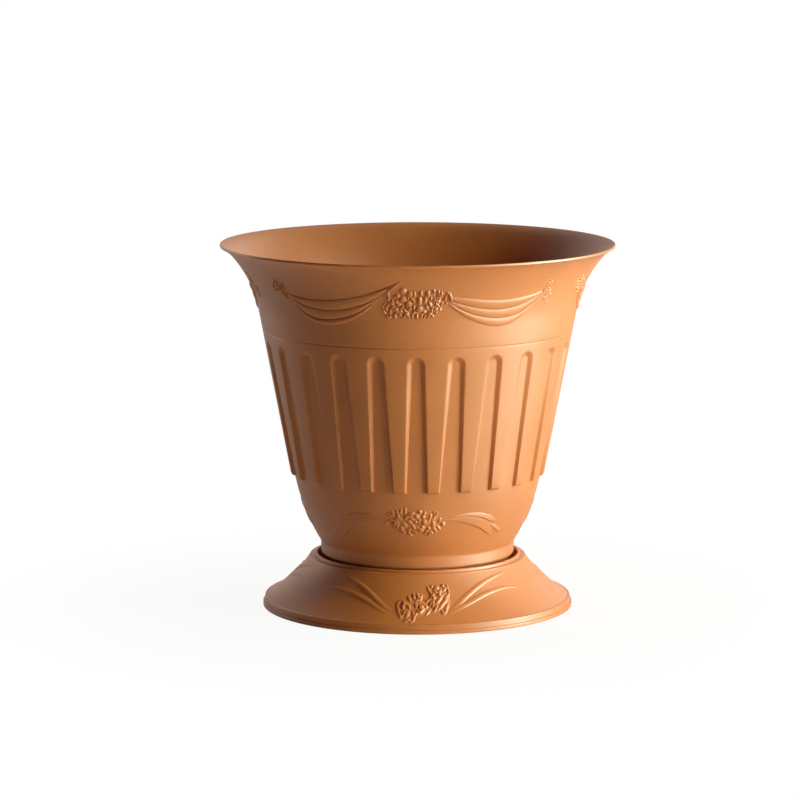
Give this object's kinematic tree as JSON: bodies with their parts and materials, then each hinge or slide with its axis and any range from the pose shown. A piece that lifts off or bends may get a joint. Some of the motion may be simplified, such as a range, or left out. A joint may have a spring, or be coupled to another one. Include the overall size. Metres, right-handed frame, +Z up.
{
  "type": "cachepot with saucer",
  "caption": "Flared round floor cachepot with moulded festoons, a fluted conical body and a narrow foot that lifts out of the well of a skirted saucer.",
  "frame": {"origin": "on the floor under the middle of the saucer", "axes": "+Z up along the axis of the pot and saucer, -Y towards the middle of a flower cluster, the pictured front"},
  "size_m": [0.4, 0.3998, 0.371],
  "materials": {
    "pot_plastic": "satin, terracotta colour",
    "saucer_plastic": "satin, terracotta colour"
  },
  "bodies": {
    "saucer": {"saucer": "saucer_plastic"},
    "pot": {"pot": "pot_plastic"}
  },
  "joints": [
    {"name": "pot_lift", "type": "slide", "parent": "saucer", "child": "pot", "axis": [0, 0, 1], "range_m": [0, 0.1]}
  ]
}
